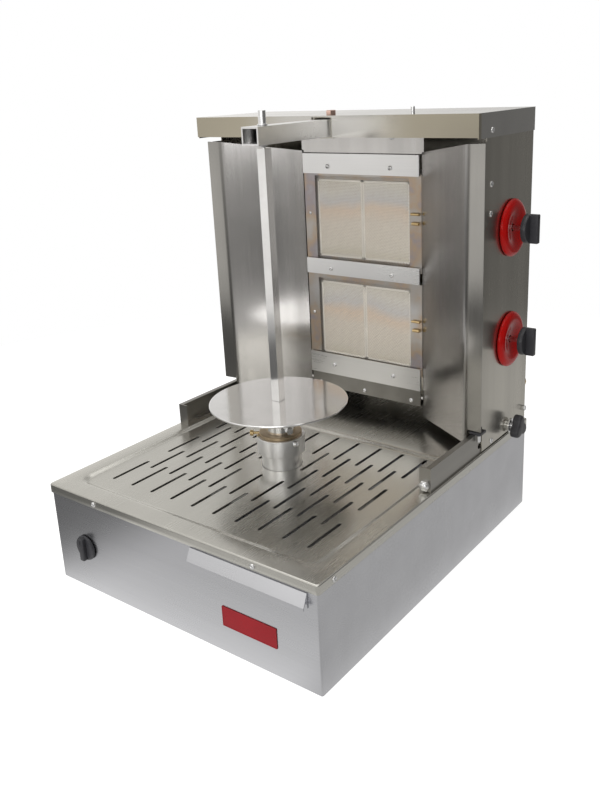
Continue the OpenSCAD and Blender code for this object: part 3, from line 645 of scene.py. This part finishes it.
def disc_and_screw():
    """Meat disc with its collar and thumb screw, and the screw in the hub that holds the skewer."""
    mesh = bmesh.new()
    half = 7.3
    square_hole = [(half, half), (-half, half), (-half, -half), (half, -half)]
    flat_plate(mesh, circle(106, 160), [square_hole], 259, 3, 1.2)
    lathe(mesh, rounded([(10.5, 255.9), (10.5, 237), (20, 237), (20, 256.2)], 1.0), steps=64)
    piece("turned_disc", mesh, "meat_disc")
    mesh = bmesh.new()
    lathe(mesh, [(0, 11), (3, 11), (3, 29.6), (6.2, 30), (7, 30.8), (7, 36.2), (6.2, 37), (3, 36.5),
                 (0, 36.5)], (0, 0, 246.5), (0, 1, 0), 36)
    piece("disc_thumb_screw", mesh, "disc_screw")
    mesh = bmesh.new()
    ray, hub_z = bearing(-30), 222
    lathe(mesh, [(0, 11.2), (3.5, 11.2), (3.5, 34.5), (0, 34.5)], (0, 0, hub_z), ray, 24)
    hexagon(mesh, ray * 34 + Vector((0, 0, hub_z)), ray, 6, 8)
    piece("hub_screw", mesh, "hub_bolt")


# ---------------------------------------------------------------- tower

def wing(name, side):
    """Reflector with a rounded fold and the slight waves of thin bright sheet."""
    mesh = bmesh.new()
    half_sheet, wave_size, wave_x, wave_z = 0.45, 0.28, 85, 130
    fold_x = WING_FOLD[0]
    path = rounded([(116, 238), WING_FOLD, WING_EDGE], 7, 8)
    low = [(100, 171), (fold_x, 178), (fold_x + 5, FLANGE_FOOT), (262, FLANGE_FOOT)]
    high = [(100, 606), (fold_x, 628), (262, FLANGE_HEAD)]
    points = [Vector(path[0])]
    for a, b in zip(path, path[1:]):
        a, b = Vector(a), Vector(b)
        count = max(1, round((b - a).length / 9))
        points += [a + (b - a) * (i + 1) / count for i in range(count)]
    rows, front, back = 44, [], []
    for i, point in enumerate(points):
        run = (points[min(i + 1, len(points) - 1)] - points[max(i - 1, 0)]).normalized()
        normal = Vector((run.y, -run.x))
        z0, z1 = along(point.x, low), along(point.x, high)
        line = ([], [])
        for j in range(rows + 1):
            z = z0 + (z1 - z0) * j / rows
            wave = wave_size * noise.noise(Vector((point.x / wave_x, z / wave_z, side * 3.0)))
            for out, offset in zip(line, (half_sheet, -half_sheet)):
                at = point + normal * (offset + wave)
                out.append(mesh.verts.new((side * at.x, at.y, z)))
        front.append(line[0])
        back.append(line[1])
    last = len(points) - 1
    for i in range(last):
        for j in range(rows):
            for grid in (front, back):
                mesh.faces.new((grid[i][j], grid[i + 1][j], grid[i + 1][j + 1], grid[i][j + 1]))
        for j in (0, rows):
            mesh.faces.new((front[i][j], front[i + 1][j], back[i + 1][j], back[i][j]))
    for i in (0, last):
        for j in range(rows):
            mesh.faces.new((front[i][j], front[i][j + 1], back[i][j + 1], back[i][j]))
    piece(name + "_reflector", mesh, name)


def screen(level, z):
    """Folded frame and the woven wire that stands off the burner."""
    mesh = bmesh.new()
    half_x, half_z, sheet, edge = 114.5, 79, 0.8, 0.15
    flat_plate(mesh, ring_points(half_x, -half_z, half_z, 3), [ring_points(92.3, -72, 72, 2)[::-1]],
               sheet, sheet, edge, upright(0, 239.3, z))
    front, back = 238.8, 245
    for side in (-1, 1):
        x0, x1 = sorted((side * (half_x - sheet), side * half_x))
        block(mesh, (x0, front, z - 78), (x1, back, z + 78), edge)
        z0, z1 = sorted((z + side * (half_z - sheet), z + side * half_z))
        block(mesh, (-114, front, z0), (114, back, z1), edge)
    piece(level + "_screen_frame", mesh, level + "_mesh", finish="tinted_steel")
    mesh = bmesh.new()
    pitch, half_x, half_z, crimp, wire_radius = 5.5, 94.5, 74.0, 0.42, 0.32
    limit = int((half_x + half_z) / pitch)
    for line in range(-limit, limit + 1):
        for rising in (True, False):
            points = []
            for k in range(-2 * limit - 1, 2 * limit + 2):
                fixed, free = line * pitch, k * pitch / 2
                x = (fixed + free) / 2
                up = (fixed - free) / 2 if rising else (free - fixed) / 2
                if abs(x) <= half_x and abs(up) <= half_z:
                    over = crimp * math.cos(math.pi * (k / 2 + line)) * (1 if rising else -1)
                    points.append(Vector((x, 239.95 + over, z + up)))
            if len(points) > 3:
                wire(mesh, points, wire_radius)
    piece(level + "_woven_wire", mesh, level + "_mesh", replace=False, angle=80)


def burner_tiles(level, z):
    """Two plaques side by side, each with a plain rim round its flame holes."""
    mesh, rims = bmesh.new(), bmesh.new()
    rim_x, rim_z = 3.2, 3.3
    z0, z1 = z - 65.7, z + 65.7
    for side in (-1, 1):
        x0, x1 = sorted((side * 0.31, side * 90.7))
        block(mesh, (x0, 244.6, z0), (x1, 257, z1), 0.4)
        for lo, hi in (((x0, z0), (x1, z0 + rim_z)), ((x0, z1 - rim_z), (x1, z1)),
                       ((x0, z0), (x0 + rim_x, z1)), ((x1 - rim_x, z0), (x1, z1))):
            block(rims, (lo[0], 244.05, lo[1]), (hi[0], 246, hi[1]), 0.25)
    piece(level + "_plaques", mesh, level + "_tiles")
    piece(level + "_plaque_rims", rims, level + "_tiles", finish="ceramic_rim", replace=False)


def tower_screws():
    """Screws of the shell, strips, crossbar and screens, two pins, and the lock knob's collar."""
    mesh = bmesh.new()
    for side in (1, -1):
        out = (side, 0, 0)
        for y, z in ((201, 569.5), (201, 527), (217, 166)):
            pan_head(mesh, (side * 250, y, z), out, 4.5, 2)
        hexagon(mesh, (side * 250, 333, 183), out, 4.5, 7)
        pan_head(mesh, (side * 260, 180, 646), out, 4, 2)
        for z in (584, 411, 236):
            pan_head(mesh, (side * 61, 233.25, z), TO_COOK, 4, 2.2)
        pan_head(mesh, (side * 94, 236, 198), TO_COOK, 4, 2.4)
    pan_head(mesh, (0, 236, 198), TO_COOK, 4, 2.4)
    lathe(mesh, [(0, 184), (2.8, 184), (3.5, 184.8), (3.5, 194.3), (0, 194.3)], (253, 166, 0), steps=20)
    pan_head(mesh, (61, 240, 631), TO_COOK, 4, 1.6)
    for z in BURNERS.values():
        pan_head(mesh, (-104, 238.5, z + 8), TO_COOK, 3, 1.8)
    lathe(mesh, [(0, 670), (3, 670), (3, 680.2), (2.4, 681), (0, 681)], (154, 146, 0), steps=24)
    lathe(mesh, rounded([(4.1, 250), (7, 250), (7, 254), (12, 254), (12, 257), (4.1, 257), (4.1, 250)], 0.4),
          (0, LOCK_Y, LOCK_Z), RIGHT, 40)
    piece("tower_screws", mesh, "tower_fasteners")


def bezels():
    """Dished red rings behind the gas knobs."""
    mesh = bmesh.new()
    profile = [(6, 250.6), (41, 250.6), (43.4, 251.2), (44, 252.6), (43.5, 254.4), (42, 256.2), (39.4, 257.9),
               (36, 258.8), (31.5, 258.9), (26.5, 258), (21, 256.3), (15.5, 254.4), (10, 253.1), (6, 252.8),
               (6, 250.6)]
    for z in BURNERS.values():
        lathe(mesh, profile, (0, VALVE_Y, z), RIGHT, 96)
    piece("enamel_bezels", mesh, "knob_bezels", angle=80)


def gas_knobs():
    """Round knob with a grip bar across it, on each valve stem."""
    grip_half_y, grip_half_z = 4.6, 21.8
    for level, z in BURNERS.items():
        mesh = bmesh.new()
        lathe(mesh, [(0, 288.4), (4.1, 288.4), (4.1, 273), (20.6, 273), (21.7, 273.5), (22, 274.6),
                     (21.5, 279.6), (20.6, 281), (18, 281.3), (0, 281.3)], (0, VALVE_Y, z), RIGHT, 64)
        block(mesh, (279, VALVE_Y - grip_half_y, z - grip_half_z),
              (294, VALVE_Y + grip_half_y, z + grip_half_z), 1.5, 4)
        piece(level + "_grip_knob", mesh, level + "_gas_knob")


def clamp_parts():
    """Bolt that clamps the arm, and the pin that drops through the arm into the skewer's top."""
    mesh = bmesh.new()
    bolt_y = 164
    lathe(mesh, [(0, 664.9), (3.4, 664.9), (4, 665.6), (4, 671), (0, 671)], (0, bolt_y, 0), steps=32)
    hexagon(mesh, (0, bolt_y, 670.1), (0, 0, 1), 8, 6.9)
    piece("clamp_bolt_hex", mesh, "arm_clamp_bolt")
    mesh = bmesh.new()
    lathe(mesh, rounded([(0, 614), (3, 614), (3, 636.6), (5.5, 637), (5.5, 664.8), (7.5, 664.8), (7.5, 666.8),
                         (5.5, 666.8), (5.5, 685), (0, 685)], 0.7), steps=40)
    piece("top_pivot", mesh, "top_pin")


def lobed_knob():
    """Three-lobed clamp knob on its stud."""
    mesh = bmesh.new()
    steps, middle_radius, lobe_height, rings = 72, 16.6, 3.9, []
    for inset, x in ((4, 262), (1.4, 262.3), (0.3, 263.4), (0, 265.5), (0, 272), (0.5, 274), (2, 275.5),
                     (4.5, 276)):
        ring = []
        for i in range(steps):
            a = 2 * math.pi * i / steps
            r = middle_radius + lobe_height * math.cos(3 * (a - math.pi / 2)) - inset
            ring.append(mesh.verts.new((x, LOCK_Y + r * math.cos(a), LOCK_Z + r * math.sin(a))))
        rings.append(ring)
    bridge(mesh, rings)
    mesh.faces.new(rings[0])
    mesh.faces.new(rings[-1])
    piece("lobed_grip", mesh, "lock_knob")
    mesh = bmesh.new()
    lathe(mesh, [(0, 241), (6.4, 241), (7, 241.6), (7, 245.6), (6.4, 246.2), (4, 246.2), (4, 263), (0, 263)],
          (0, LOCK_Y, LOCK_Z), RIGHT, 32)
    piece("lock_stud", mesh, "lock_knob", finish="plated", replace=False)


# ---------------------------------------------------------------- stage, lights and camera

def make_camera():
    """Seen from the front right, a little above the tray."""
    azimuth, elevation, roll = math.radians(37.30), math.radians(17.31), math.radians(-2.54)
    back = Vector((math.sin(azimuth) * math.cos(elevation), -math.cos(azimuth) * math.cos(elevation),
                   math.sin(elevation)))
    right = Vector((math.cos(azimuth), math.sin(azimuth), 0))
    up = back.cross(right)
    right, up = (right * math.cos(roll) + up * math.sin(roll), up * math.cos(roll) - right * math.sin(roll))
    data = bpy.data.cameras.new("camera")
    data.sensor_width = 36
    data.lens = 38.18
    data.shift_x = -0.0192
    data.shift_y = -0.0678
    camera = bpy.data.objects.new("camera", data)
    turned = Matrix((right, up, back)).transposed().to_4x4()
    camera.matrix_world = Matrix.Translation((0.7815, -0.9274, 0.7201)) @ turned
    bpy.context.collection.objects.link(camera)
    bpy.context.scene.camera = camera


def area_light(name, place, target, size, power, glossy=True):
    data = bpy.data.lights.new(name, "AREA")
    data.shape = "RECTANGLE"
    data.size, data.size_y = size
    data.energy = power
    light = bpy.data.objects.new(name, data)
    light.location = place
    light.visible_camera = False
    light.visible_glossy = glossy
    light.rotation_mode = "QUATERNION"
    light.rotation_quaternion = (Vector(place) - Vector(target)).to_track_quat("Z", "Y")
    bpy.context.collection.objects.link(light)


def lobe(g, vector, axis, low, high, strength):
    """Soft patch of light round one direction."""
    dot = g.node("ShaderNodeVectorMath", {0: vector}, operation="DOT_PRODUCT")
    dot.inputs[1].default_value = Vector(axis).normalized()
    return g.soft(dot.outputs["Value"], low, high, strength)


class StageGraph(Graph):
    """The same short calls on the world's or the floor's empty tree."""

    def __init__(self, tree, coords):
        self.tree = tree
        tree.nodes.clear()
        self.coords = self.node("ShaderNodeTexCoord").outputs[coords]

    def camera_or_studio(self, studio, camera, kind):
        path = self.node("ShaderNodeLightPath").outputs["Is Camera Ray"]
        mix = self.node("ShaderNodeMixShader", {0: path, 1: studio, 2: camera})
        out = self.node(kind)
        self.put(out.inputs["Surface"], mix.outputs[0])


def make_world():
    """White backdrop, and for reflections a studio that is dark low down behind the right."""
    world = bpy.data.worlds.new("studio")
    bpy.context.scene.world = world
    world.use_nodes = True
    g = StageGraph(world.node_tree, "Generated")
    up = g.axis(2)
    front = g.math("MULTIPLY", lobe(g, g.coords, (-0.8, -0.6, 0), -0.4, 0.6, 0.66), g.soft(up, -0.20, 0.04))
    behind = g.math("MULTIPLY", lobe(g, g.coords, (-0.62, 0.78, 0), 0.45, 0.95, 0.50), g.soft(up, -0.5, -0.1))
    low_sky = g.remap(g.soft(up, 0.10, 0.55), 0.0, 1.0, 1.0, 0.55)
    around = g.math("MULTIPLY", g.math("ADD", front, behind), low_sky)
    total = g.math("ADD", g.math("ADD", around, lobe(g, g.coords, (0, 0, 1), 0.35, 1.0, 0.55)), 0.16)
    windows = (((-0.58, -0.76, -0.28), 0.96, 0.99, 0.75), ((0.85, -0.5, 0.03), 0.95, 0.995, 0.3),
               ((-0.42, -0.84, 0.34), 0.95, 0.99, 0.7))
    for axis, low, high, strength in windows:
        total = g.math("ADD", total, lobe(g, g.coords, axis, low, high, strength))
    studio = g.node("ShaderNodeBackground", {"Strength": total, "Color": rgb(1.0, 0.985, 0.96)}).outputs[0]
    white = g.node("ShaderNodeBackground", {"Color": rgb(1, 1, 1)}).outputs[0]
    g.camera_or_studio(studio, white, "ShaderNodeOutputWorld")


def make_floor():
    """Paper sweep: white to the camera. In the steel's reflections it fades away from the machine."""
    mesh = bmesh.new()
    bmesh.ops.create_circle(mesh, cap_ends=True, segments=96, radius=1.5)
    data = bpy.data.meshes.new("floor")
    mesh.to_mesh(data)
    mesh.free()
    floor = bpy.data.objects.new("floor", data)
    floor.location = (0.0, 0.05, -0.0005)
    bpy.context.collection.objects.link(floor)
    material = bpy.data.materials.new("floor_paper")
    material.use_nodes = True
    g = StageGraph(material.node_tree, "Object")
    x, y = g.axis(0), g.axis(1)
    half_x, half_y, darkest = 0.25, 0.30, 0.05
    gap_x = g.math("MAXIMUM", g.math("SUBTRACT", g.math("ABSOLUTE", x), half_x), 0.0)
    gap_y = g.math("MAXIMUM", g.math("SUBTRACT", g.math("ABSOLUTE", y), half_y), 0.0)
    away = g.math("SQRT", g.math("ADD", g.math("MULTIPLY", gap_x, gap_x), g.math("MULTIPLY", gap_y, gap_y)))
    near = g.math("MULTIPLY", g.math("EXPONENT", g.math("MULTIPLY", away, -9.0)), g.soft(x, 0.30, 0.18, 0.42))
    around = g.remap(g.soft(away, 0.7, 1.5), 0.0, 1.0, 0.54, 0.16)
    shade_left = g.math("MULTIPLY", g.soft(x, -0.15, -0.36, -0.40), g.soft(y, -0.1, -0.35))
    behind = g.math("MULTIPLY", g.soft(x, -0.4, -1.1, 0.12), g.soft(y, 0.0, 0.6))
    patch = g.math("MULTIPLY", g.soft(x, -0.65, -0.9, 0.5), g.soft(y, -0.8, -1.1))
    light = g.math("ADD", near, around)
    light = g.math("ADD", light, g.math("ADD", shade_left, g.math("ADD", behind, patch)))
    light = g.math("MAXIMUM", light, darkest)
    studio = g.node("ShaderNodeEmission", {"Strength": light, "Color": rgb(1.0, 0.99, 0.97)}).outputs[0]
    paper = g.node("ShaderNodeBsdfDiffuse", {"Color": rgb(0.45, 0.45, 0.45)}).outputs[0]
    glow = g.node("ShaderNodeEmission", {"Strength": 0.78}).outputs[0]
    lit = g.node("ShaderNodeAddShader", {0: paper, 1: glow}).outputs[0]
    g.camera_or_studio(studio, lit, "ShaderNodeOutputMaterial")
    data.materials.append(material)


def make_stage():
    make_floor()
    make_world()
    area_light("low_key", (1.2, -2.3, 0.82), (0, 0.1, 0.35), (1.7, 0.62), 6.5)
    area_light("high_key", (0.85, -2.1, 1.5), (0, 0.1, 0.2), (1.2, 0.6), 1.5)
    area_light("top", (-0.2, 0.1, 2.6), (0, 0, 0.2), (2.2, 2.2), 18)
    area_light("soft_fill", (0.2, -2.2, 0.75), (0, 0.2, 0.3), (1.8, 1.0), 25, glossy=False)
    bpy.context.scene.view_settings.view_transform = "Standard"


make_camera()
make_stage()
finish_cad_nodes()
slotted_tray()
blank_plate()
base_screws()
post()
switch_dial()
disc_and_screw()
wing("left_wing", -1)
wing("right_wing", 1)
for burner, height in BURNERS.items():
    screen(burner, height)
    burner_tiles(burner, height)
tower_screws()
bezels()
gas_knobs()
clamp_parts()
lobed_knob()
